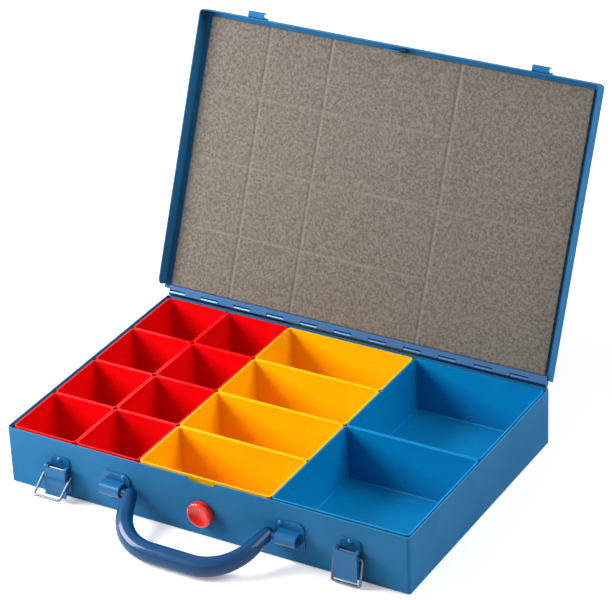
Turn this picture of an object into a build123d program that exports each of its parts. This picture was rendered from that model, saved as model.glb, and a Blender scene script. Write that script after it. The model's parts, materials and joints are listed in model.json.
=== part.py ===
from build123d import *
import math
import os

# A sheet-steel small-parts case: a tray full of plastic boxes under a hinged, foam-lined lid,
# shut by two toggle latches and a push-button lock, and carried by a bow handle.
#
# Frame: X to the right, Y to the back, Z up, millimetres.  The origin is the centre of the
# tray's underside.  The pieces stand as the open case does: lid at its stop, handle on the table.

# ------------------------------------------------------------------ driving dimensions: shell
sheet = 0.8  # steel sheet of the tray and the lid
tray_width = 334.0
tray_depth = 223.0
tray_height = 47.0
tray_corner_radius = 2.5  # upright outside corners
bend_radius = 1.6  # outside radius of the folded edges

lid_side_clearance = 2.2  # tray's side wall to the inside of the lid's skirt
lid_front_clearance = 1.6
skirt_depth = 11.6  # lid's outer face to the free edge of its skirt
skirt_setback = 5.9  # hinge axis to the rear end of each side skirt
skirt_end_radius = 6.0
lid_corner_radius = 3.5
lid_open_angle = 113.0

foam_thickness = 1.6
foam_side_inset = 6.0  # inside of the side skirt to the foam
foam_front_inset = 3.9  # inside of the front skirt to the foam
foam_corner_radius = 2.0

# ------------------------------------------------------------------ driving dimensions: hinge
hinge_length = 330.0
knuckle_count = 22
knuckle_radius = 2.4
knuckle_gap = 0.3  # between neighbours along the pin
hinge_pin_radius = 1.2
leaf_thickness = 0.7
tray_leaf_height = 11.0
lid_leaf_width = 5.9  # hinge axis to the leaf's front edge
hinge_gap = 0.35  # knuckles to whatever passes them
running_clearance = 0.05  # radial, at every pin, rivet and shank

# ------------------------------------------------------------------ driving dimensions: inset boxes
column_pitch = 54.9  # one grid unit across the tray
row_pitch = 54.2  # one grid unit from front to back, so that the last row lifts clear of the knuckles
box_gap = 0.4  # between neighbouring boxes
box_height = 45.0
box_wall = 1.3
box_floor = 1.4
box_draft = 1.0  # degrees, each wall
box_corner_radius = 2.4
box_inside_radius = 1.0  # between floor and walls, within the inside corners' own radius
box_foot_radius = 1.0
box_seat_gap = 0.2
box_front_room = 3.4  # tray's front wall to the first row
columns = 6
rows = 4

# ------------------------------------------------------------------ driving dimensions: latches
latch_side_inset = 46.0  # tray's side to a latch's middle line
latch_plate_width = 16.0
latch_plate_bottom = 4.0
latch_plate_top = 34.0
latch_plate_corner_radius = 2.7
latch_steel = 1.0
latch_ear_radius = 2.6
latch_ear_root = (17.0, 24.0)  # lowest and highest point of the ear on its plate
lever_pivot_out = 5.0  # stand-off from the tray's front wall
lever_pivot_z = 26.0
lever_pin_radius = 1.2
lever_pin_head_radius = 1.9
lever_pin_head = 0.6
lever_side_gap = 0.25  # plate ear to lever cheek, and cheek to the pin's head
lever_face_gap = 3.2  # pivot to the back of the lever's face
lever_bottom = 5.0
lever_curl_angle = 30.0
lever_lip_out = 1.2  # the finger lip's throw at the bottom of the lever
lever_lip_height = 3.5
lever_cheek_bottom = 9.0
lever_cheek_depth = 2.7
cheek_pivot_radius = 3.0
cheek_loop_radius = 2.2
loop_pivot_out = 4.0
loop_pivot_z = 21.5
loop_wire_radius = 1.0
loop_half_width = 11.25  # latch centre line to an arm's centre line
loop_bend_radius = 2.0
loop_rest_left = 56.6  # degrees, from straight down, swung away from the wall
loop_rest_right = 14.2

# ------------------------------------------------------------------ driving dimensions: keepers
keeper_width = 14.0
keeper_steel = 1.0
keeper_top = 47.6  # heights with the lid shut
keeper_web_z = 39.9
keeper_lip_z = 43.6
keeper_groove = 3.2  # between the keeper's plate and its lip
keeper_bend_radius = 1.0
keeper_rivet_x = 3.8
keeper_rivet_z = 45.6
loop_seat_gap = 0.35  # latched loop above the keeper's web

# ------------------------------------------------------------------ driving dimensions: lock
button_z = 20.5
button_radius = 9.8
button_back = 1.5  # wall to the rear edge of the head
button_height = 5.0
button_edge_radius = 1.7
button_rim = 2.1  # rounded edge and flat ring round the dish
button_dish = 1.4
button_hollow_radius = 7.8
button_hollow_depth = 2.9
button_travel = 1.2
shank_radius = 3.0
spigot_radius = 2.0
spigot_head_radius = 2.8
spigot_head = 0.3
collar_radius = 6.5
collar_height = 1.0
collar_bore_gap = 0.3
spring_radius = 5.0
spring_wire_radius = 0.3
spring_pitch = 0.7
spring_turns = 2.0

notch_width = 22.0
notch_depth = 3.0
notch_corner_radius = 0.8
striker_width = 14.0
striker_steel = 0.7
striker_wall_gap = 0.45  # behind the tray's front wall
striker_bridge_z = 45.65
striker_flange_bottom = 39.0
striker_bottom = 35.5
striker_bend_radius = 0.8
window_width = 8.0
window_bottom = 38.1
window_height = 2.2
catch_width = 12.0
catch_bottom = 12.0
catch_steel = 0.6
catch_gap = 0.15  # striker to catch plate
catch_corner_radius = 2.0
nose_width = 6.0
nose_height = 1.3
nose_clearance = 0.3  # button's travel to spare once the nose is out
nose_lift = 0.4  # nose above the window's lower bar

# ------------------------------------------------------------------ driving dimensions: handle
handle_pivot_out = 6.0
handle_pivot_z = 22.5
handle_arm_x = 57.0
handle_reach = 41.65  # pivot to the grip's centre line
handle_corner_x = 45.0
handle_bend_radius = 38.0
handle_grip_radius = 7.6
handle_shoulder_radius = 6.9
handle_arm_radius = 5.1
handle_pin_radius = 3.0
handle_shoulder_at = 0.22  # share of the bow's length from either end
handle_table_gap = 0.3
bracket_x = 72.5
bracket_width = 24.0
bracket_bottom = 11.0
bracket_top = 34.0
bracket_steel = 1.2
bracket_corner_radius = 5.0
tunnel_radius = 4.9
tunnel_length = 16.5
tunnel_offset = 0.75  # tunnel's middle from the bracket's, away from the arm
handle_pin_overhang = 0.8  # each end of the handle beyond its tunnel
bracket_rivet_places = ((-7.0, 31.0), (5.0, 14.0))  # outward of the bracket's middle, and height

# ------------------------------------------------------------------ driving dimensions: rivets
rivet_radius = 1.3
rivet_head_radius = 2.4
rivet_head = 1.1
rivet_tail_radius = 2.0
rivet_tail = 0.6
small_rivet_radius = 1.0
small_rivet_head_radius = 1.8
small_rivet_head = 0.7
small_rivet_tail_radius = 1.6
latch_rivet_z = (8.5, 31.4)

# ------------------------------------------------------------------ derived places
front_y = -tray_depth / 2
rear_y = tray_depth / 2

hinge_y = rear_y + leaf_thickness / 2
hinge_z = tray_height + hinge_gap + knuckle_radius
hinge_axis = Axis((0, hinge_y, hinge_z), (1, 0, 0))
knuckle_pitch = hinge_length / knuckle_count

panel_under = hinge_z - knuckle_radius + leaf_thickness  # lid shut: underside of its panel
panel_top = panel_under + sheet
lid_width = tray_width + 2 * (lid_side_clearance + sheet)
lid_front_y = front_y - lid_front_clearance - sheet
lid_rear_y = hinge_y - knuckle_radius - hinge_gap
skirt_bottom = panel_top - skirt_depth
skirt_out = lid_front_clearance + sheet  # stand-off of the lid's front from the tray's

latch_x = tray_width / 2 - latch_side_inset
lever_face_out = lever_pivot_out + lever_face_gap
lever_inner_half = latch_plate_width / 2 + lever_side_gap
lever_outer_half = lever_inner_half + latch_steel
groove_middle = skirt_out + keeper_steel + keeper_groove / 2
loop_top_z = keeper_web_z + keeper_steel / 2 + loop_seat_gap + loop_wire_radius
loop_length = math.hypot(groove_middle - loop_pivot_out, loop_top_z - loop_pivot_z)

striker_out = -sheet - striker_wall_gap - striker_steel / 2  # middle of the striker's tongue
catch_out = striker_out - striker_steel / 2 - catch_gap  # front of the catch plate
nose_reach = button_travel - nose_clearance
nose_bottom = window_bottom + nose_lift
catch_top = nose_bottom + nose_height

handle_droop = math.asin((handle_pivot_z - handle_grip_radius - handle_table_gap) / handle_reach)

os.makedirs("parts", exist_ok=True)


def wall_plane(x=0.0, out=0.0):
    """The tray's front wall: sketch X along the wall, sketch Y up, normal towards the user."""
    return Plane(origin=(x, front_y - out, 0), x_dir=(1, 0, 0), z_dir=(0, -1, 0))


def side_plane(x=0.0, z=0.0):
    """An upright plane across the front wall: sketch X is the stand-off, sketch Y is height."""
    return Plane(origin=(x, front_y, z), x_dir=(0, -1, 0), z_dir=(-1, 0, 0))


def opened(piece):
    """A lid piece drawn with the lid shut, swung up to where the open lid stops."""
    return piece.rotate(hinge_axis, -lid_open_angle)


def write_piece(piece, name):
    piece.label = name
    export_step(piece, f"parts/{name}.step")


def rivet(grip, shank, head_radius, head, tail_radius):
    """A rivet along +Z: domed head above Z 0, shank through the grip, flat tail below it."""
    with BuildPart() as one:
        with BuildSketch(Plane.XZ):
            with BuildLine():
                RadiusArc((0, head), (head_radius, 0), (head_radius**2 + head**2) / (2 * head))
                Polyline(
                    (head_radius, 0),
                    (shank, 0),
                    (shank, -grip),
                    (tail_radius, -grip),
                    (tail_radius, -grip - rivet_tail),
                    (0, -grip - rivet_tail),
                    (0, head),
                )
            make_face()
        revolve(axis=Axis.Z)
    return one.part


def rivet_group(places, out, grip, *sizes):
    """Rivets through the front wall, or through the shut lid's front, whose heads sit at out."""
    one = rivet(grip, *sizes)
    with BuildPart() as group:
        with Locations(*[wall_plane(x, out).location * Location((0, z, 0)) for x, z in places]):
            add(one)
    return group.part


# ------------------------------------------------------------------ tray
latch_rivets_at = [(side * latch_x, z) for side in (-1, 1) for z in latch_rivet_z]
bracket_rivets_at = [
    (side * (bracket_x + across), z) for side in (-1, 1) for across, z in bracket_rivet_places
]

with BuildPart() as tray:
    with BuildSketch():
        RectangleRounded(tray_width, tray_depth, tray_corner_radius)
    extrude(amount=tray_height)
    fillet(tray.edges().group_by(Axis.Z)[0], bend_radius)
    offset(amount=-sheet, openings=tray.faces().sort_by(Axis.Z)[-1])
    with BuildSketch(wall_plane()):
        with Locations((0, tray_height)):
            RectangleRounded(notch_width, 2 * notch_depth, notch_corner_radius)
        with Locations((0, button_z)):
            Circle(shank_radius + running_clearance)
        with Locations(*latch_rivets_at, *bracket_rivets_at):
            Circle(rivet_radius + running_clearance)
    extrude(amount=-2 * sheet, mode=Mode.SUBTRACT)
write_piece(tray.part, "base_tray")

# ------------------------------------------------------------------ lid
with BuildPart() as lid:
    with BuildSketch(Plane.XY.offset(skirt_bottom)) as lid_plan:
        with Locations((0, (lid_front_y + lid_rear_y) / 2)):
            Rectangle(lid_width, lid_rear_y - lid_front_y)
        fillet(lid_plan.vertices().group_by(Axis.Y)[0], lid_corner_radius)
    extrude(amount=skirt_depth)
    top_face = lid.faces().sort_by(Axis.Z)[-1]
    fillet(top_face.edges().sort_by(Axis.Y)[:-1], bend_radius)
    offset(amount=-sheet, openings=[lid.faces().sort_by(Axis.Z)[0], lid.faces().sort_by(Axis.Y)[-1]])
    # the side skirts stop short of the hinge, with a rounded free corner
    with BuildSketch(Plane.YZ):
        with BuildLine():
            Polyline(
                (hinge_y - skirt_setback, skirt_bottom + skirt_end_radius),
                (hinge_y - skirt_setback, panel_under),
                (hinge_y, panel_under),
                (hinge_y, skirt_bottom - sheet),
                (hinge_y - skirt_setback - skirt_end_radius, skirt_bottom - sheet),
                (hinge_y - skirt_setback - skirt_end_radius, skirt_bottom),
            )
            RadiusArc(
                (hinge_y - skirt_setback - skirt_end_radius, skirt_bottom),
                (hinge_y - skirt_setback, skirt_bottom + skirt_end_radius),
                -skirt_end_radius,
            )
        make_face()
    extrude(amount=lid_width, both=True, mode=Mode.SUBTRACT)
    # rivet holes for the keepers
    with BuildSketch(wall_plane(out=skirt_out)):
        for side in (-1, 1):
            with Locations((side * latch_x, keeper_rivet_z)):
                with GridLocations(2 * keeper_rivet_x, 0, 2, 1):
                    Circle(small_rivet_radius + running_clearance)
    extrude(amount=-2 * sheet, mode=Mode.SUBTRACT)
write_piece(opened(lid.part), "lid_shell")

# foam lining under the lid's panel
foam_front_y = lid_front_y + sheet + foam_front_inset
foam_rear_y = hinge_y - lid_leaf_width - hinge_gap
with BuildPart() as foam:
    with BuildSketch(Plane.XY.offset(panel_under)):
        with Locations((0, (foam_front_y + foam_rear_y) / 2)):
            RectangleRounded(
                lid_width - 2 * (sheet + foam_side_inset), foam_rear_y - foam_front_y, foam_corner_radius
            )
    extrude(amount=-foam_thickness)
write_piece(opened(foam.part), "lid_foam")


# ------------------------------------------------------------------ piano hinge
def hinge_leaf(first_knuckle, strip, neck):
    """A leaf: its flat strip, and every second knuckle joined to the strip by a neck.

    The strip and the neck are (front, rear, lowest, highest) in the section across the hinge.
    """
    with BuildPart() as leaf:
        with BuildSketch(Plane.YZ):
            with Locations(((strip[0] + strip[1]) / 2, (strip[2] + strip[3]) / 2)):
                Rectangle(strip[1] - strip[0], strip[3] - strip[2])
        extrude(amount=hinge_length / 2, both=True)
        for index in range(first_knuckle, knuckle_count, 2):
            start = -hinge_length / 2 + index * knuckle_pitch + knuckle_gap / 2
            with BuildSketch(Plane.YZ.offset(start)):
                with Locations((hinge_y, hinge_z)):
                    Circle(knuckle_radius)
                with Locations(((neck[0] + neck[1]) / 2, (neck[2] + neck[3]) / 2)):
                    Rectangle(neck[1] - neck[0], neck[3] - neck[2])
            extrude(amount=knuckle_pitch - knuckle_gap)
        with BuildSketch(Plane.YZ):
            with Locations((hinge_y, hinge_z)):
                Circle(hinge_pin_radius + running_clearance)
        extrude(amount=hinge_length, both=True, mode=Mode.SUBTRACT)
    return leaf.part


# the tray's leaf stands on the outside of the rear wall, in line with the pin
tray_leaf = hinge_leaf(
    0,
    (rear_y, rear_y + leaf_thickness, tray_height - tray_leaf_height, tray_height),
    (rear_y, rear_y + leaf_thickness, tray_height, hinge_z),
)
write_piece(tray_leaf, "hinge_leaf_tray")

# the lid's leaf lies under the lid's panel and leaves its knuckles at their lowest point
leaf_bottom = panel_under - leaf_thickness
lid_leaf = hinge_leaf(
    1,
    (hinge_y - lid_leaf_width, lid_rear_y, leaf_bottom, panel_under),
    (lid_rear_y, hinge_y, leaf_bottom, panel_under),
)
write_piece(opened(lid_leaf), "hinge_leaf_lid")

with BuildPart() as hinge_pin:
    with BuildSketch(Plane.YZ):
        with Locations((hinge_y, hinge_z)):
            Circle(hinge_pin_radius)
    extrude(amount=hinge_length / 2, both=True)
write_piece(hinge_pin.part, "hinge_pin")


# ------------------------------------------------------------------ inset boxes
def inset_box(column, row, wide, deep):
    """An open plastic box that covers wide x deep grid units from the given column and row."""
    left = (column - columns / 2) * column_pitch
    front = front_y + sheet + box_front_room - box_gap / 2 + row * row_pitch
    centre = (left + wide * column_pitch / 2, front + deep * row_pitch / 2)
    lean = math.tan(math.radians(box_draft))
    width = wide * column_pitch - box_gap - 2 * box_height * lean
    depth = deep * row_pitch - box_gap - 2 * box_height * lean
    bottom = sheet + box_seat_gap
    with BuildPart() as box:
        with BuildSketch(Plane.XY.offset(bottom)):
            with Locations(centre):
                RectangleRounded(width, depth, box_corner_radius)
        extrude(amount=box_height, taper=-box_draft)
        fillet(box.edges().group_by(Axis.Z)[0], box_foot_radius)
        inset = box_wall - box_floor * lean
        with BuildSketch(Plane.XY.offset(bottom + box_floor)):
            with Locations(centre):
                RectangleRounded(width - 2 * inset, depth - 2 * inset, box_corner_radius - inset)
        extrude(amount=box_height - box_floor, taper=-box_draft, mode=Mode.SUBTRACT)
        inner_floor = box.faces().filter_by(Axis.Z).sort_by(Axis.Z)[1]
        fillet(inner_floor.edges(), box_inside_radius)
    return box.part


red_places = [(column, row) for row in range(rows) for column in (0, 1)]
for number, (column, row) in enumerate(red_places, start=1):
    write_piece(inset_box(column, row, 1, 1), f"red_box_{number}")
for row in range(rows):
    write_piece(inset_box(2, row, 2, 1), f"yellow_box_{row + 1}")
for number, row in enumerate((0, 2), start=1):
    write_piece(inset_box(4, row, 2, 2), f"blue_box_{number}")


# ------------------------------------------------------------------ toggle latches
def latch_plate(x):
    """The riveted plate with two ears that carry the lever's pin."""
    with BuildPart() as plate:
        with BuildSketch(wall_plane(x)):
            with Locations((0, (latch_plate_bottom + latch_plate_top) / 2)):
                RectangleRounded(
                    latch_plate_width, latch_plate_top - latch_plate_bottom, latch_plate_corner_radius
                )
            with Locations(*[(0, z) for z in latch_rivet_z]):
                Circle(rivet_radius + running_clearance, mode=Mode.SUBTRACT)
        extrude(amount=latch_steel)
        for side in (-1, 1):
            with BuildSketch(side_plane(x + side * (latch_plate_width - latch_steel) / 2)):
                with Locations((lever_pivot_out, lever_pivot_z)):
                    Circle(latch_ear_radius)
                with Locations((0, sum(latch_ear_root) / 2)):
                    Rectangle(
                        latch_steel, latch_ear_root[1] - latch_ear_root[0], align=(Align.MIN, Align.CENTER)
                    )
                make_hull()
                with Locations((lever_pivot_out, lever_pivot_z)):
                    Circle(lever_pin_radius + running_clearance, mode=Mode.SUBTRACT)
            extrude(amount=latch_steel / 2, both=True)
    return plate.part


def latch_lever(x):
    """The lever: a pressed face with a finger lip, and a cheek each side that holds both pivots."""
    face_out = lever_face_out + latch_steel / 2
    curl_radius = lever_face_gap + latch_steel / 2
    curl = math.radians(lever_curl_angle)
    curl_end = (
        lever_pivot_out + curl_radius * math.cos(curl),
        lever_pivot_z + curl_radius * math.sin(curl),
    )
    with BuildPart() as lever:
        with BuildSketch(side_plane(x)):
            with BuildLine():
                lip = Line(
                    (face_out + lever_lip_out, lever_bottom), (face_out, lever_bottom + lever_lip_height)
                )
                face = Line(lip @ 1, (face_out, lever_pivot_z))
                RadiusArc(face @ 1, curl_end, -curl_radius)
            trace(line_width=latch_steel)
        extrude(amount=lever_outer_half, both=True)
        for side in (-1, 1):
            with BuildSketch(side_plane(x + side * (lever_inner_half + latch_steel / 2))):
                with Locations((lever_pivot_out, lever_pivot_z)):
                    Circle(cheek_pivot_radius)
                with Locations((loop_pivot_out, loop_pivot_z)):
                    Circle(cheek_loop_radius)
                with Locations((lever_face_out + latch_steel / 2, lever_cheek_bottom)):
                    Rectangle(
                        lever_cheek_depth, lever_pivot_z - lever_cheek_bottom, align=(Align.MAX, Align.MIN)
                    )
                make_hull()
                with Locations((lever_pivot_out, lever_pivot_z)):
                    Circle(lever_pin_radius + running_clearance, mode=Mode.SUBTRACT)
                with Locations((loop_pivot_out, loop_pivot_z)):
                    Circle(loop_wire_radius + running_clearance, mode=Mode.SUBTRACT)
            extrude(amount=latch_steel / 2, both=True)
    return lever.part


def latch_loop(x, rest_angle):
    """The wire loop: two arms joined by a bar, their ends turned in through the lever's cheeks."""
    swing = math.radians(rest_angle)
    loop_plane = Plane(
        origin=(x, front_y - loop_pivot_out, loop_pivot_z),
        x_dir=(1, 0, 0),
        z_dir=(0, math.cos(swing), -math.sin(swing)),
    )
    with BuildPart() as loop:
        with BuildLine(loop_plane):
            wire = FilletPolyline(
                (lever_inner_half, 0),
                (loop_half_width, 0),
                (loop_half_width, loop_length),
                (-loop_half_width, loop_length),
                (-loop_half_width, 0),
                (-lever_inner_half, 0),
                radius=loop_bend_radius,
            )
        with BuildSketch(Plane(origin=wire @ 0, z_dir=wire % 0)):
            Circle(loop_wire_radius)
        sweep()
    return loop.part


def keeper(x):
    """The hook on the lid's front that the wire loop pulls down on."""
    plate_out = skirt_out + keeper_steel / 2
    lip_out = plate_out + keeper_steel + keeper_groove
    with BuildPart() as hook:
        with BuildSketch(side_plane(x)):
            with BuildLine():
                FilletPolyline(
                    (plate_out, keeper_top),
                    (plate_out, keeper_web_z),
                    (lip_out, keeper_web_z),
                    (lip_out, keeper_lip_z),
                    radius=keeper_bend_radius,
                )
            trace(line_width=keeper_steel)
        extrude(amount=keeper_width / 2, both=True)
        with BuildSketch(wall_plane(x, skirt_out)):
            with Locations((0, keeper_rivet_z)):
                with GridLocations(2 * keeper_rivet_x, 0, 2, 1):
                    Circle(small_rivet_radius + running_clearance)
        extrude(amount=keeper_steel, mode=Mode.SUBTRACT)
    return hook.part


for name, x, rest_angle in (("left", -latch_x, loop_rest_left), ("right", latch_x, loop_rest_right)):
    write_piece(latch_plate(x), f"latch_plate_{name}")
    write_piece(latch_lever(x), f"latch_lever_{name}")
    write_piece(latch_loop(x, rest_angle), f"latch_loop_{name}")
    write_piece(opened(keeper(x)), f"keeper_{name}")

# the levers' pins, each with a flat head at both ends
pin_half = lever_outer_half + lever_side_gap / 2
with BuildPart() as lever_pins:
    for side in (-1, 1):
        with BuildSketch(side_plane(side * latch_x)):
            with Locations((lever_pivot_out, lever_pivot_z)):
                Circle(lever_pin_radius)
        extrude(amount=pin_half, both=True)
        for end in (-1, 1):
            with BuildSketch(side_plane(side * latch_x + end * (pin_half + lever_pin_head / 2))):
                with Locations((lever_pivot_out, lever_pivot_z)):
                    Circle(lever_pin_head_radius)
            extrude(amount=lever_pin_head / 2, both=True)
write_piece(lever_pins.part, "latch_lever_pins")

write_piece(
    rivet_group(
        latch_rivets_at,
        latch_steel,
        latch_steel + sheet,
        rivet_radius,
        rivet_head_radius,
        rivet_head,
        rivet_tail_radius,
    ),
    "latch_rivets",
)
keeper_rivets_at = [
    (side * latch_x + end * keeper_rivet_x, keeper_rivet_z) for side in (-1, 1) for end in (-1, 1)
]
write_piece(
    opened(
        rivet_group(
            keeper_rivets_at,
            skirt_out + keeper_steel,
            keeper_steel + sheet,
            small_rivet_radius,
            small_rivet_head_radius,
            small_rivet_head,
            small_rivet_tail_radius,
        )
    ),
    "keeper_rivets",
)

# ------------------------------------------------------------------ push-button lock
button_plane = side_plane(z=button_z)
button_front = button_back + button_height
spigot_end = catch_out - catch_steel - spigot_head
dish_radius = button_radius - button_rim
with BuildPart() as button:
    with BuildSketch(button_plane):
        with BuildLine():
            Polyline(
                (button_front - button_dish, 0),
                (spigot_end, 0),
                (spigot_end, spigot_head_radius),
                (spigot_end + spigot_head, spigot_head_radius),
                (spigot_end + spigot_head, spigot_radius),
                (catch_out, spigot_radius),
                (catch_out, shank_radius),
                (button_back + button_hollow_depth, shank_radius),
                (button_back + button_hollow_depth, button_hollow_radius),
                (button_back, button_hollow_radius),
                (button_back, button_radius),
                (button_front - button_edge_radius, button_radius),
            )
            RadiusArc(
                (button_front - button_edge_radius, button_radius),
                (button_front, button_radius - button_edge_radius),
                button_edge_radius,
            )
            Line((button_front, button_radius - button_edge_radius), (button_front, dish_radius))
            RadiusArc(
                (button_front, dish_radius),
                (button_front - button_dish, 0),
                -(dish_radius**2 + button_dish**2) / (2 * button_dish),
            )
        make_face()
    revolve(axis=Axis((0, front_y, button_z), (0, -1, 0)))
write_piece(button.part, "lock_button")

with BuildPart() as catch:
    with BuildSketch(wall_plane(out=catch_out)):
        with Locations((0, (catch_bottom + catch_top) / 2)):
            Rectangle(catch_width, catch_top - catch_bottom)
        with Locations((0, button_z)):
            Circle(spigot_radius + running_clearance, mode=Mode.SUBTRACT)
    extrude(amount=-catch_steel)
    fillet(catch.edges().filter_by(Axis.Y).group_by(Axis.Z)[0], catch_corner_radius)
    with BuildSketch(wall_plane(out=catch_out)):
        with Locations((0, nose_bottom + nose_height / 2)):
            Rectangle(nose_width, nose_height)
    extrude(amount=nose_reach)
write_piece(catch.part, "lock_catch")

with BuildPart() as collar:
    with BuildSketch(wall_plane()):
        with Locations((0, button_z)):
            Circle(collar_radius)
            Circle(shank_radius + collar_bore_gap, mode=Mode.SUBTRACT)
    extrude(amount=collar_height)
write_piece(collar.part, "lock_collar")

# the return spring, drawn as it is with the button pressed
with BuildPart() as spring:
    with BuildLine():
        coil = Helix(
            pitch=spring_pitch,
            height=spring_pitch * spring_turns,
            radius=spring_radius,
            center=(0, front_y - collar_height - spring_wire_radius, button_z),
            direction=(0, -1, 0),
        )
    with BuildSketch(Plane(origin=coil @ 0, z_dir=coil % 0)):
        Circle(spring_wire_radius)
    sweep(is_frenet=True)
write_piece(spring.part, "lock_spring")

with BuildPart() as striker:
    flange_out = lid_front_clearance - striker_steel / 2
    with BuildSketch(side_plane()):
        with BuildLine():
            FilletPolyline(
                (flange_out, striker_flange_bottom),
                (flange_out, striker_bridge_z),
                (striker_out, striker_bridge_z),
                (striker_out, striker_bottom),
                radius=striker_bend_radius,
            )
        trace(line_width=striker_steel)
    extrude(amount=striker_width / 2, both=True)
    with BuildSketch(wall_plane(out=-sheet)):
        with Locations((0, window_bottom + window_height / 2)):
            Rectangle(window_width, window_height)
    extrude(amount=-(striker_wall_gap + 2 * striker_steel), mode=Mode.SUBTRACT)
write_piece(opened(striker.part), "lock_striker")

# ------------------------------------------------------------------ handle
handle_plane = Plane(
    origin=(0, front_y - handle_pivot_out, handle_pivot_z),
    x_dir=(1, 0, 0),
    z_dir=(0, math.sin(handle_droop), -math.cos(handle_droop)),
)
pin_end_x = bracket_x + tunnel_offset + tunnel_length / 2 + handle_pin_overhang
with BuildPart() as handle:
    with BuildLine(handle_plane):
        bow = FilletPolyline(
            (handle_arm_x, 0),
            (handle_corner_x, handle_reach),
            (-handle_corner_x, handle_reach),
            (-handle_arm_x, 0),
            radius=handle_bend_radius,
        )
    bow_sections = (
        (0, handle_arm_radius),
        (handle_shoulder_at, handle_shoulder_radius),
        (0.5, handle_grip_radius),
        (1 - handle_shoulder_at, handle_shoulder_radius),
        (1, handle_arm_radius),
    )
    for along, radius in bow_sections:
        with BuildSketch(Plane(origin=bow @ along, z_dir=bow % along)):
            Circle(radius)
    sweep(multisection=True)
    for side in (-1, 1):
        with Locations((side * handle_arm_x, front_y - handle_pivot_out, handle_pivot_z)):
            Sphere(handle_arm_radius)
        with BuildSketch(side_plane(side * handle_arm_x)):
            with Locations((handle_pivot_out, handle_pivot_z)):
                Circle(handle_pin_radius)
        extrude(amount=-side * (pin_end_x - handle_arm_x))
write_piece(handle.part, "handle_bow")


def handle_bracket(side):
    """A riveted plate with a raised tunnel in which one end of the handle turns."""
    middle = side * bracket_x
    tunnel_middle = side * (bracket_x + tunnel_offset)
    with BuildPart() as bracket:
        with BuildSketch(wall_plane(middle)):
            with Locations((0, (bracket_bottom + bracket_top) / 2)):
                RectangleRounded(bracket_width, bracket_top - bracket_bottom, bracket_corner_radius)
        extrude(amount=bracket_steel)
        with BuildSketch(side_plane(tunnel_middle)):
            with Locations((handle_pivot_out, handle_pivot_z)):
                Circle(tunnel_radius)
            with Locations((0, handle_pivot_z)):
                Rectangle(handle_pivot_out, 2 * tunnel_radius, align=(Align.MIN, Align.CENTER))
        extrude(amount=tunnel_length / 2, both=True)
        with BuildSketch(side_plane(tunnel_middle)):
            with Locations((handle_pivot_out, handle_pivot_z)):
                Circle(handle_pin_radius + running_clearance)
        extrude(amount=bracket_width, both=True, mode=Mode.SUBTRACT)
        with BuildSketch(wall_plane(middle)):
            with Locations(*[(side * across, z) for across, z in bracket_rivet_places]):
                Circle(rivet_radius + running_clearance)
        extrude(amount=2 * bracket_steel, mode=Mode.SUBTRACT)
    return bracket.part


write_piece(handle_bracket(-1), "handle_bracket_left")
write_piece(handle_bracket(1), "handle_bracket_right")
write_piece(
    rivet_group(
        bracket_rivets_at,
        bracket_steel,
        bracket_steel + sheet,
        rivet_radius,
        rivet_head_radius,
        rivet_head,
        rivet_tail_radius,
    ),
    "handle_rivets",
)
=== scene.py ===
import json
import math

import bpy
import numpy as np
from mathutils import Matrix, Vector


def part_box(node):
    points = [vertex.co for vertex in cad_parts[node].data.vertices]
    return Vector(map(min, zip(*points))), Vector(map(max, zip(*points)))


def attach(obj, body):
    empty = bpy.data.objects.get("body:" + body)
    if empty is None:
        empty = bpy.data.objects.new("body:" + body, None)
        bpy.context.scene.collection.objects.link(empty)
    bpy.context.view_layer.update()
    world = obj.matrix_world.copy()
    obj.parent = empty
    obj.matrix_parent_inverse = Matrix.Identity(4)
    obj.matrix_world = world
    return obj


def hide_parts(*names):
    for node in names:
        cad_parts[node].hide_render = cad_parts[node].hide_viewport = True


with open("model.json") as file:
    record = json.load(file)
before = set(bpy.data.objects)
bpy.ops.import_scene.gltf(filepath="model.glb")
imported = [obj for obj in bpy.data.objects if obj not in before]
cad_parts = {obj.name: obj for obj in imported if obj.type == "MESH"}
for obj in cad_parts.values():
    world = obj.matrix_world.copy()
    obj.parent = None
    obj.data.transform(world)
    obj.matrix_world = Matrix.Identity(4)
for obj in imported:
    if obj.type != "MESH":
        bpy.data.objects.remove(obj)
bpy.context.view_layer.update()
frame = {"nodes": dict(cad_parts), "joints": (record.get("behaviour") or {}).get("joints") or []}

# ---------------------------------------------------------------------------------------------
# Camera and studio.  A long lens looks from the front right and a little above.  Three soft lamps
# light the case: the key from the front left, a large one from the right and a weak one from the
# front.  The room round it is white where it is seen or mirrored, and lights it very little.
camera_azimuth = math.radians(30.84)
camera_elevation = math.radians(28.85)
camera_roll = math.radians(-2.52)
camera_target = Vector((-0.0522, 0.1326, 0.0589))
camera_distance = 2.1959
camera_sight = 20.0  # metres; nothing farther away is drawn
sensor_width = 36.0  # millimetres
lens_over_sensor = 4.6044  # focal length over the width of the frame


def direction(azimuth, elevation):
    """The unit vector from the object towards a place at this azimuth from the front, and elevation."""
    return Vector((
        math.sin(azimuth) * math.cos(elevation),
        -math.cos(azimuth) * math.cos(elevation),
        math.sin(elevation),
    ))


back = direction(camera_azimuth, camera_elevation)
level = Vector((math.cos(camera_azimuth), math.sin(camera_azimuth), 0))
upward = back.cross(level)
picture_right = level * math.cos(camera_roll) + upward * math.sin(camera_roll)
picture_up = upward * math.cos(camera_roll) - level * math.sin(camera_roll)
camera_data = bpy.data.cameras.new("camera")
camera_data.sensor_width = sensor_width
camera_data.lens = lens_over_sensor * sensor_width
camera_data.clip_end = camera_sight
camera = bpy.data.objects.new("camera", camera_data)
camera.matrix_world = Matrix.Translation(camera_target + back * camera_distance) @ Matrix(
    (picture_right, picture_up, back)
).transposed().to_4x4()
bpy.context.collection.objects.link(camera)
bpy.context.scene.camera = camera
bpy.context.scene.view_settings.view_transform = "Standard"

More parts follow.
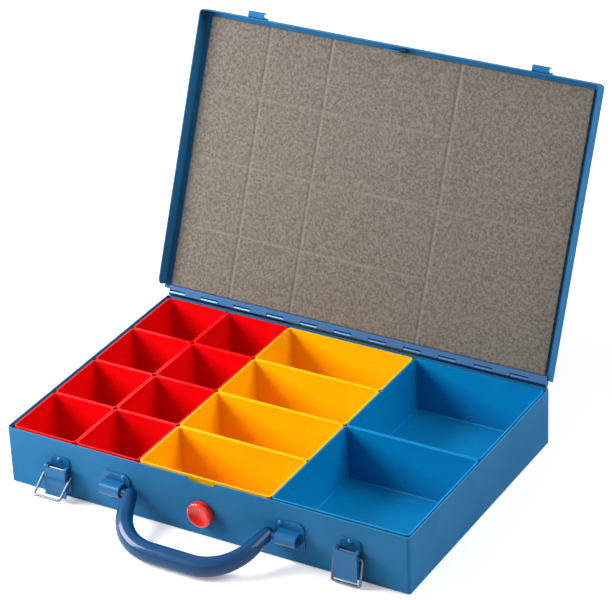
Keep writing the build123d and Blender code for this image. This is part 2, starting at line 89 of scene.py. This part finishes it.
lamp_target = Vector((0, 0.05, 0.08))
lamps = {  # azimuth and elevation in degrees, distance and size in metres, power in watts
    "key_lamp": (-62, 29, 1.05, 0.6, 25),
    "edge_lamp": (106, 44, 1.7, 1.2, 31),
    "front_lamp": (-20, 30, 2.2, 1.4, 6),
}
for name, (azimuth, elevation, distance, size, power) in lamps.items():
    towards = direction(math.radians(azimuth), math.radians(elevation))
    lamp_data = bpy.data.lights.new(name, "AREA")
    lamp_data.size = size
    lamp_data.energy = power
    lamp = bpy.data.objects.new(name, lamp_data)
    lamp.matrix_world = Matrix.Translation(lamp_target + towards * distance) @ (
        towards.to_track_quat("Z", "Y").to_matrix().to_4x4()
    )
    bpy.context.collection.objects.link(lamp)

ambient = 0.04  # strength of the room's light on the case


def add_node(tree, kind, inputs=None, **settings):
    """Adds a node; an input given a socket is linked to it, and one given a value is set to it."""
    node = tree.nodes.new(kind)
    for name, value in settings.items():
        setattr(node, name, value)
    for name, value in (inputs or {}).items():
        if isinstance(value, bpy.types.NodeSocket):
            tree.links.new(value, node.inputs[name])
        else:
            node.inputs[name].default_value = value
    return node


def seen_or_mirrored(tree):
    """1 where the camera, a reflection or a view through glass meets the surface, otherwise 0."""
    rays = add_node(tree, "ShaderNodeLightPath").outputs
    seen = add_node(
        tree, "ShaderNodeMath", {0: rays["Is Camera Ray"], 1: rays["Is Glossy Ray"]}, operation="MAXIMUM"
    )
    return add_node(
        tree, "ShaderNodeMath", {0: seen.outputs[0], 1: rays["Is Transmission Ray"]}, operation="MAXIMUM"
    ).outputs[0]


world = bpy.data.worlds.new("studio")
world.use_nodes = True
world.node_tree.nodes.clear()
room_strength = add_node(
    world.node_tree,
    "ShaderNodeMapRange",
    {"Value": seen_or_mirrored(world.node_tree), "To Min": ambient, "To Max": 1.0},
)
room = add_node(
    world.node_tree, "ShaderNodeBackground", {"Color": (1, 1, 1, 1), "Strength": room_strength.outputs[0]}
)
add_node(world.node_tree, "ShaderNodeOutputWorld", {"Surface": room.outputs[0]})
bpy.context.scene.world = world

# ---------------------------------------------------------------------------------------------
# Sweep: matt white paper that the case stands on.  Near the case it takes the case's shadow, and
# farther out its own light keeps it white where it is seen or mirrored, and lights nothing else.
millimetre = 0.001
paper_size = 6.0
paper_drop = 0.2 * millimetre  # below the case, so that the two surfaces don't meet
paper_own_light = 0.25  # near the case, on top of what the lamps give
shadow_reach = 0.45  # metres from the case within which the paper shows its shadow in full
lamp_reach = 1.3  # metres from the case, past which the paper is white by its own light alone
paper_fibres = 900.0  # to the metre, coarser than real ones so that they show
paper_relief = 0.05 * millimetre


def linear(hex_colour):
    """An sRGB hex colour as linear red, green, blue and alpha."""
    channels = [int(hex_colour[i : i + 2], 16) / 255 for i in (1, 3, 5)]
    return (*[c / 12.92 if c <= 0.04045 else ((c + 0.055) / 1.055) ** 2.4 for c in channels], 1.0)


def new_material(name):
    """An empty material, its node tree and the Object coordinates that its patterns read."""
    material = bpy.data.materials.new(name)
    material.use_nodes = True
    tree = material.node_tree
    tree.nodes.clear()
    return material, tree, add_node(tree, "ShaderNodeTexCoord").outputs["Object"]


def surface(tree, looks, pattern, relief):
    """Ends a material in one Principled shader, raised by up to the relief where the pattern is 1."""
    bump = add_node(tree, "ShaderNodeBump", {"Height": pattern, "Distance": relief})
    shader = add_node(tree, "ShaderNodeBsdfPrincipled", {**looks, "Normal": bump.outputs[0]})
    add_node(tree, "ShaderNodeOutputMaterial", {"Surface": shader.outputs[0]})


bpy.ops.mesh.primitive_plane_add(size=paper_size, location=(0, 0, -paper_drop))
paper_sweep = bpy.context.object
paper_sweep.name = "paper_sweep"
paper, tree, place = new_material("matt white paper")
from_case = add_node(tree, "ShaderNodeVectorMath", {0: place}, operation="LENGTH")
paper_glow = add_node(
    tree,
    "ShaderNodeMapRange",
    {
        "Value": from_case.outputs["Value"],
        "From Min": shadow_reach,
        "From Max": lamp_reach,
        "To Min": paper_own_light,
        "To Max": 1.0,
    },
)
own_light = add_node(
    tree, "ShaderNodeMath", {0: seen_or_mirrored(tree), 1: paper_glow.outputs[0]}, operation="MULTIPLY"
)
fibre = add_node(tree, "ShaderNodeTexNoise", {"Vector": place, "Scale": paper_fibres, "Detail": 2.0})
surface(
    tree,
    {
        "Base Color": linear("#f4f4f4"),
        "Roughness": 0.9,
        "Emission Color": (1, 1, 1, 1),
        "Emission Strength": own_light.outputs[0],
    },
    fibre.outputs["Fac"],
    paper_relief,
)
paper_sweep.data.materials.append(paper)

# ---------------------------------------------------------------------------------------------
# Tray, lid and fittings: sheet steel, folded and spot-welded, then stoved in blue enamel, a satin
# coat over a faint orange peel.  A lighter line is painted along the tray's open rim: painted
# highlight where light catches its edge, and the coat rubbed down there as well.
# Latches and handle brackets were dipped apart, in a deeper and glossier coat.
enamel_peel = 1.8 * millimetre  # size of one bump of the orange peel
enamel_relief = 0.02 * millimetre
enamel_patch = 35 * millimetre
thick_patch, thin_patch = 0.35, 0.65  # patch noise where the coat is thickest and thinnest
patch_paling = 0.25  # share of the thin coat's colour in the thinnest patches
rim_highlight_and_wear_share = 0.55  # the same on the rim itself, where the pale line is painted highlight as well as wear
rim_highlight_and_wear_band = 0.5 * millimetre
rim_margin = 0.1 * millimetre  # what stands higher than this over the rim isn't the tray's, and gets neither painted rim highlight nor wear
tray_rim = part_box("base_tray")[1][2]
nodes = frame["nodes"]
mix_a, mix_b, mixed = 6, 7, 2  # a Mix node's colour sockets: two inputs and the output


def finish_with(names, material):
    """Gives CAD nodes their finish, in the one material slot that each has."""
    for name in names:
        nodes[name].data.materials[0] = material


def stove_enamel(name, body_colour, thin_coat_and_highlight_colour, reflection, smoothest, roughest):
    """Blue enamel in patches of two tones and two glosses, paler on the tray's open rim by painted
    highlight and wear.
    """
    material, tree, place = new_material(name)
    peel = add_node(tree, "ShaderNodeTexNoise", {"Vector": place, "Scale": 1 / enamel_peel, "Detail": 1.0})
    patch = add_node(
        tree, "ShaderNodeTexNoise", {"Vector": place, "Scale": 1 / enamel_patch, "Detail": 3.0}
    )
    height = add_node(tree, "ShaderNodeSeparateXYZ", {"Vector": place})
    near_rim = add_node(
        tree,
        "ShaderNodeMapRange",
        {
            "Value": height.outputs["Z"],
            "From Min": tray_rim - rim_highlight_and_wear_band,
            "From Max": tray_rim,
            "To Max": rim_highlight_and_wear_share,
        },
    )
    on_tray = add_node(
        tree, "ShaderNodeMath", {0: height.outputs["Z"], 1: tray_rim + rim_margin}, operation="LESS_THAN"
    )
    # Painted highlight and wear: a pale line along the tray's open rim, left off what stands over it.
    rim_highlight_and_wear_line = add_node(
        tree, "ShaderNodeMath", {0: near_rim.outputs[0], 1: on_tray.outputs[0]}, operation="MULTIPLY"
    )
    paling = add_node(
        tree,
        "ShaderNodeMapRange",
        {
            "Value": patch.outputs["Fac"],
            "From Min": thick_patch,
            "From Max": thin_patch,
            "To Max": patch_paling,
        },
    )
    thin_coat_and_rim_highlight = add_node(
        tree,
        "ShaderNodeMath",
        {0: paling.outputs[0], 1: rim_highlight_and_wear_line.outputs[0]},
        operation="ADD",
        use_clamp=True,
    )
    tone = add_node(
        tree,
        "ShaderNodeMix",
        {"Factor": thin_coat_and_rim_highlight.outputs[0], mix_a: body_colour, mix_b: thin_coat_and_highlight_colour},
        data_type="RGBA",
    )
    gloss = add_node(
        tree,
        "ShaderNodeMapRange",
        {"Value": patch.outputs["Fac"], "To Min": smoothest, "To Max": roughest},
    )
    surface(
        tree,
        {
            "Base Color": tone.outputs[mixed],
            "Roughness": gloss.outputs[0],
            "IOR": 1.5,
            "Specular IOR Level": reflection,
        },
        peel.outputs["Fac"],
        enamel_relief,
    )
    return material


finish_with(
    [
        "base_tray",
        "lid_shell",
        "keeper_left",
        "keeper_right",
        "keeper_rivets",
        "lock_collar",
        "lock_striker",
    ],
    stove_enamel(
        "satin blue stove enamel",
        linear("#25628e"),
        linear("#3f779c"),
        reflection=0.01,
        smoothest=0.34,
        roughest=0.46,
    ),
)
finish_with(
    [
        "latch_plate_left",
        "latch_plate_right",
        "latch_lever_left",
        "latch_lever_right",
        "latch_rivets",
        "handle_bracket_left",
        "handle_bracket_right",
        "handle_rivets",
    ],
    stove_enamel(
        "glossy blue stove enamel",
        linear("#125484"),
        linear("#2c6c98"),
        reflection=0.22,
        smoothest=0.12,
        roughest=0.22,
    ),
)

# ---------------------------------------------------------------------------------------------
# Piano hinge, lever pins, latch loops, catch plate and return spring: drawn steel wire and rolled
# or stamped strip, zinc plated.  Fine draw lines break up the reflections.  The hinge's leaves have
# the blue passivation that such strip is sold with.
draw_line = 0.35 * millimetre  # from line to line, coarser than real ones so that they show
draw_line_relief = 0.01 * millimetre
zinc_smoothest, zinc_roughest = 0.18, 0.38


def zinc_plated_steel(name, tint):
    """Bright zinc over fine draw lines, in the tint that its passivation gives it."""
    material, tree, place = new_material(name)
    lines = add_node(tree, "ShaderNodeTexNoise", {"Vector": place, "Scale": 1 / draw_line, "Detail": 2.0})
    gloss = add_node(
        tree,
        "ShaderNodeMapRange",
        {"Value": lines.outputs["Fac"], "To Min": zinc_smoothest, "To Max": zinc_roughest},
    )
    surface(
        tree,
        {"Base Color": tint, "Metallic": 1.0, "Roughness": gloss.outputs[0]},
        lines.outputs["Fac"],
        draw_line_relief,
    )
    return material


finish_with(
    ["hinge_leaf_tray", "hinge_leaf_lid"],
    zinc_plated_steel("blue passivated zinc plated steel", linear("#3a5c84")),
)
finish_with(
    [
        "hinge_pin",
        "latch_lever_pins",
        "latch_loop_left",
        "latch_loop_right",
        "lock_catch",
        "lock_spring",
    ],
    zinc_plated_steel("bright zinc plated steel", linear("#5c626b")),
)

# ---------------------------------------------------------------------------------------------
# Foam lining: a sheet of open-cell polyether foam glued under the lid's panel.  The rims of the
# boxes have pressed their grid into it, which leaves shallow grooves a little paler than the rest.
foam_edge_round = 0.8 * millimetre
groove_depth = 0.55 * millimetre
groove_half_width = 2.3 * millimetre
ripple_height = 0.12 * millimetre
ripple_across = (410, 170, 2.2)  # radians to the metre, those of the slower sine, and its shift
ripple_along = (530, 230, 1.7)  # the same for the waves that run from the hinge to the lid's front
foam_crease = math.radians(50)  # where the surface turns by more, its shading breaks
foam_step = 1.7 * millimetre  # from one grid line to the next, away from the grooves
foam_closest = 0.05 * millimetre  # two grid lines never come closer than this
groove_stations = 9
edge_stations = 5

hinge = next(joint for joint in frame["joints"] if joint["name"] == "lid_hinge")
hinge_y, hinge_z = hinge["pos_m"][1:]
lid_angle = -math.radians(hinge["range_deg"][0])  # the lid stands at its stop, this far from shut


def lid_place(across, reach, rise):
    """Points of the open lid: reach runs from the hinge to the lid's front, rise out through its panel."""
    return np.stack(
        (
            across,
            hinge_y - reach * math.cos(lid_angle) + rise * math.sin(lid_angle),
            hinge_z + reach * math.sin(lid_angle) + rise * math.cos(lid_angle),
        ),
        axis=-1,
    )


def between(box, neighbour, axis):
    """The middle of the gap between two boxes, along X (0) or Y (1)."""
    return (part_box(box)[1][axis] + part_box(neighbour)[0][axis]) / 2


def stations(start, end, pressed_lines):
    """Grid lines from start to end: even ones, and closer ones across each pressed line and edge."""
    even = np.arange(start, end, foam_step)
    close = [line + groove_half_width * np.linspace(-1, 1, groove_stations) for line in pressed_lines]
    edge = foam_edge_round * np.linspace(0, 1, edge_stations) ** 2
    every = np.sort(np.concatenate((even, *close, start + edge, end - edge)))
    every = every[(every > start) & (every < end)]
    spaced = every[np.concatenate(([True], np.diff(every) > foam_closest))]
    return np.concatenate(([start], spaced[1:-1], [end]))


def groove(distance):
    """A rounded groove: a raised cosine of the distance from its middle line, 1 there and 0 outside."""
    return 0.5 + 0.5 * np.cos(np.pi * np.clip(distance / groove_half_width, -1, 1))


def pressed_by_rims(across, reach):
    """The deepest of the grooves at each point.  The columns' lines and the middle row's line run
    right through; the other rows' lines fade out at the blue boxes, which are two rows deep."""
    before_blue = np.clip((column_lines[2] - across) / groove_half_width + 0.5, 0, 1)
    return np.maximum.reduce(
        [groove(across - line) for line in column_lines]
        + [groove(reach - row_lines[1])]
        + [groove(reach - line) * before_blue for line in (row_lines[0], row_lines[2])]
    )


def wandering_wave(along, aside, pitch, slow_pitch, shift):
    """A sine along one way, whose crests a slower sine along the other way shifts to and fro."""
    return np.sin(along * pitch + shift * np.sin(aside * slow_pitch))


def fall_at_edges(across, reach):
    """A quarter circle of radius foam_edge_round over the last bit before the nearest edge."""
    to_edge = np.minimum.reduce(
        [across - across.min(), across.max() - across, reach - reach.min(), reach.max() - reach]
    )
    into_round = np.clip(1 - to_edge / foam_edge_round, 0, 1)
    return foam_edge_round * (1 - np.sqrt(1 - into_round**2))


foam_mesh = nodes["lid_foam"].data
corners = np.empty(3 * len(foam_mesh.vertices), np.float32)
foam_mesh.vertices.foreach_get("co", corners)
corners = corners.reshape(-1, 3)
from_hinge = corners[:, 1:] - (hinge_y, hinge_z)
foam_reach = from_hinge @ (-math.cos(lid_angle), math.sin(lid_angle))
foam_rise = from_hinge @ (math.sin(lid_angle), math.cos(lid_angle))
glued_rise, face_rise = foam_rise.max(), foam_rise.min()

# Where the rims touch the shut lid: columns by their place across, rows by their reach.
column_lines = [
    between("red_box_1", "red_box_2", 0),
    between("red_box_2", "yellow_box_1", 0),
    between("yellow_box_1", "blue_box_1", 0),
]
row_lines = [
    hinge_y - between("red_box_1", "red_box_3", 1),
    hinge_y - between("red_box_3", "red_box_5", 1),
    hinge_y - between("red_box_5", "red_box_7", 1),
]
across, reach = np.meshgrid(
    stations(corners[:, 0].min(), corners[:, 0].max(), column_lines),
    stations(foam_reach.min(), foam_reach.max(), row_lines),
    indexing="ij",
)

# The face lies at face_rise.  Grooves, ripple (the product of two crossed waves, made 0 to 1) and
# rounded edges each take it some way back, towards the panel that the sheet is glued to.
pressed = pressed_by_rims(across, reach)
ripple = wandering_wave(across, reach, *ripple_across) * wandering_wave(reach, across, *ripple_along)
rise = (
    face_rise + groove_depth * pressed + ripple_height * (1 + ripple) / 2 + fall_at_edges(across, reach)
)
foam_points = lid_place(across, reach, rise)

# The sides join the face's rim, taken once round, to the same rim on the flat back.
columns, rows = across.shape
index = np.arange(columns * rows).reshape(columns, rows)
face_quads = np.stack(
    (index[:-1, :-1], index[1:, :-1], index[1:, 1:], index[:-1, 1:]), axis=-1
).reshape(-1, 4)
rim = np.concatenate((index[:, 0], index[-1, 1:], index[-2::-1, -1], index[0, -2:0:-1]))
back_points = lid_place(across.ravel()[rim], reach.ravel()[rim], np.full(len(rim), glued_rise))
back_rim = columns * rows + np.arange(len(rim))
side_quads = np.stack((rim, back_rim, np.roll(back_rim, -1), np.roll(rim, -1)), axis=-1)
foam_data = bpy.data.meshes.new("foam_lining")
foam_data.from_pydata(
    np.concatenate((foam_points.reshape(-1, 3), back_points)).tolist(),
    [],
    face_quads.tolist() + side_quads.tolist() + [back_rim[::-1].tolist()],
)
foam_data.attributes.new("pressed", "FLOAT", "POINT").data.foreach_set(
    "value", np.concatenate((pressed.ravel(), np.zeros(len(rim)))).astype(np.float32)
)
foam_data.shade_smooth()
foam_data.set_sharp_from_angle(angle=foam_crease)
foam_lining = bpy.data.objects.new("foam_lining", foam_data)
bpy.context.collection.objects.link(foam_lining)

foam_grey = linear("#68625a")
foam_dark = linear("#443f39")
foam_pale = linear("#79736a")
foam_mottle = 2.1 * millimetre
dark_mottle, grey_mottle = 0.38, 0.62  # mottle noise where the foam is at its darkest and lightest
foam_cell = 1.1 * millimetre  # coarser than real cells so that they show
foam_cell_relief = 0.15 * millimetre
cell_wall = 0.9  # distance from a cell's middle, in cells, at which it is palest
cell_paling = 0.55  # share of the pale colour there
groove_paling = 0.3  # share of the pale colour in the middle of a groove

foam, tree, place = new_material("grey polyether foam")
cells = add_node(tree, "ShaderNodeTexVoronoi", {"Vector": place, "Scale": 1 / foam_cell})
mottle = add_node(tree, "ShaderNodeTexNoise", {"Vector": place, "Scale": 1 / foam_mottle, "Detail": 4.0})
mottled = add_node(
    tree,
    "ShaderNodeMapRange",
    {"Value": mottle.outputs["Fac"], "From Min": dark_mottle, "From Max": grey_mottle},
)
body = add_node(
    tree,
    "ShaderNodeMix",
    {"Factor": mottled.outputs[0], mix_a: foam_dark, mix_b: foam_grey},
    data_type="RGBA",
)
cell_light = add_node(
    tree,
    "ShaderNodeMapRange",
    {"Value": cells.outputs["Distance"], "From Max": cell_wall, "To Max": cell_paling},
)
speckled = add_node(
    tree,
    "ShaderNodeMix",
    {"Factor": cell_light.outputs[0], mix_a: body.outputs[mixed], mix_b: foam_pale},
    data_type="RGBA",
)
pressed_here = add_node(tree, "ShaderNodeAttribute", attribute_name="pressed")
paler = add_node(
    tree, "ShaderNodeMath", {0: pressed_here.outputs["Fac"], 1: groove_paling}, operation="MULTIPLY"
)
colour = add_node(
    tree,
    "ShaderNodeMix",
    {"Factor": paler.outputs[0], mix_a: speckled.outputs[mixed], mix_b: foam_pale},
    data_type="RGBA",
)
surface(
    tree,
    {"Base Color": colour.outputs[mixed], "Roughness": 0.95, "Specular IOR Level": 0.15},
    cells.outputs["Distance"],
    foam_cell_relief,
)
foam_data.materials.append(foam)
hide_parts("lid_foam")
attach(foam_lining, "lid")

# ---------------------------------------------------------------------------------------------
# Inset boxes: injection-moulded high-impact polystyrene in red, yellow and blue.  The mould's
# polish leaves them glossy, and the thin walls let a little light through at the rims.
plastic_flow = 22 * millimetre
plastic_grain = 0.7 * millimetre
plastic_relief = 0.008 * millimetre
plastic_smoothest, plastic_roughest = 0.22, 0.36


def moulded_polystyrene(name, body_colour, flow_colour, light_depth):
    """Glossy plastic, a faint second tone along its flow, and how far red, green and blue light enter."""
    material, tree, place = new_material(name)
    flow = add_node(
        tree, "ShaderNodeTexNoise", {"Vector": place, "Scale": 1 / plastic_flow, "Detail": 2.0}
    )
    grain = add_node(
        tree, "ShaderNodeTexNoise", {"Vector": place, "Scale": 1 / plastic_grain, "Detail": 2.0}
    )
    tone = add_node(
        tree,
        "ShaderNodeMix",
        {"Factor": flow.outputs["Fac"], mix_a: body_colour, mix_b: flow_colour},
        data_type="RGBA",
    )
    gloss = add_node(
        tree,
        "ShaderNodeMapRange",
        {"Value": flow.outputs["Fac"], "To Min": plastic_smoothest, "To Max": plastic_roughest},
    )
    surface(
        tree,
        {
            "Base Color": tone.outputs[mixed],
            "Roughness": gloss.outputs[0],
            "IOR": 1.59,
            "Specular IOR Level": 0.25,
            "Subsurface Weight": 0.15,
            "Subsurface Radius": light_depth,
            "Subsurface Scale": millimetre,
        },
        grain.outputs["Fac"],
        plastic_relief,
    )
    return material


for name, body_hex, flow_hex, light_depth in (
    ("red", "#de0206", "#cc020a", (2.0, 0.3, 0.3)),
    ("yellow", "#f6b200", "#f0a600", (2.0, 1.2, 0.2)),
    ("blue", "#007eb4", "#0074aa", (0.3, 0.8, 2.0)),
):
    finish_with(
        [node for node in nodes if node.startswith(f"{name}_box")],
        moulded_polystyrene(f"{name} polystyrene", linear(body_hex), linear(flow_hex), light_depth),
    )

# ---------------------------------------------------------------------------------------------
# Handle: a die-cast bow, thick in the grip, under two coats of blue lacquer.  The lacquer is
# smoother and deeper than the enamel on the sheet, and flows into long, shallow ripples.
lacquer_flow = 6 * millimetre
lacquer_relief = 0.05 * millimetre

lacquer, tree, place = new_material("blue lacquer on die casting")
flow = add_node(tree, "ShaderNodeTexNoise", {"Vector": place, "Scale": 1 / lacquer_flow, "Detail": 2.0})
tone = add_node(
    tree,
    "ShaderNodeMix",
    {"Factor": flow.outputs["Fac"], mix_a: linear("#00325a"), mix_b: linear("#013e68")},
    data_type="RGBA",
)
surface(
    tree,
    {
        "Base Color": tone.outputs[mixed],
        "Roughness": 0.3,
        "Specular IOR Level": 0.1,
        "Coat Weight": 0.3,
        "Coat Roughness": 0.1,
    },
    flow.outputs["Fac"],
    lacquer_relief,
)
finish_with(["handle_bow"], lacquer)

# ---------------------------------------------------------------------------------------------
# Lock button: moulded in signal-red acetal, dished and highly polished.  The turned mould leaves
# faint rings round its middle.
acetal_ring = 1.7765 * millimetre  # from ring to ring
acetal_ring_relief = 0.01 * millimetre
acetal_smoothest, acetal_roughest = 0.1, 0.2
wave_radians = 20  # radians to the metre of a Wave texture of scale 1

acetal, tree, place = new_material("red acetal")
to_middle = tuple(-(low + high) / 2 for low, high in zip(*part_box("lock_button")))
centred = add_node(tree, "ShaderNodeMapping", {"Vector": place, "Location": to_middle})
rings = add_node(
    tree,
    "ShaderNodeTexWave",
    {"Vector": centred.outputs[0], "Scale": 2 * math.pi / wave_radians / acetal_ring},
    wave_type="RINGS",
    rings_direction="Y",
)
gloss = add_node(
    tree,
    "ShaderNodeMapRange",
    {"Value": rings.outputs["Fac"], "To Min": acetal_smoothest, "To Max": acetal_roughest},
)
surface(
    tree,
    {
        "Base Color": linear("#dc2012"),
        "Roughness": gloss.outputs[0],
        "IOR": 1.48,
        "Specular IOR Level": 0.6,
        "Subsurface Weight": 0.25,
        "Subsurface Radius": (3.0, 0.6, 0.5),
        "Subsurface Scale": millimetre,
    },
    rings.outputs["Fac"],
    acetal_ring_relief,
)
finish_with(["lock_button"], acetal)
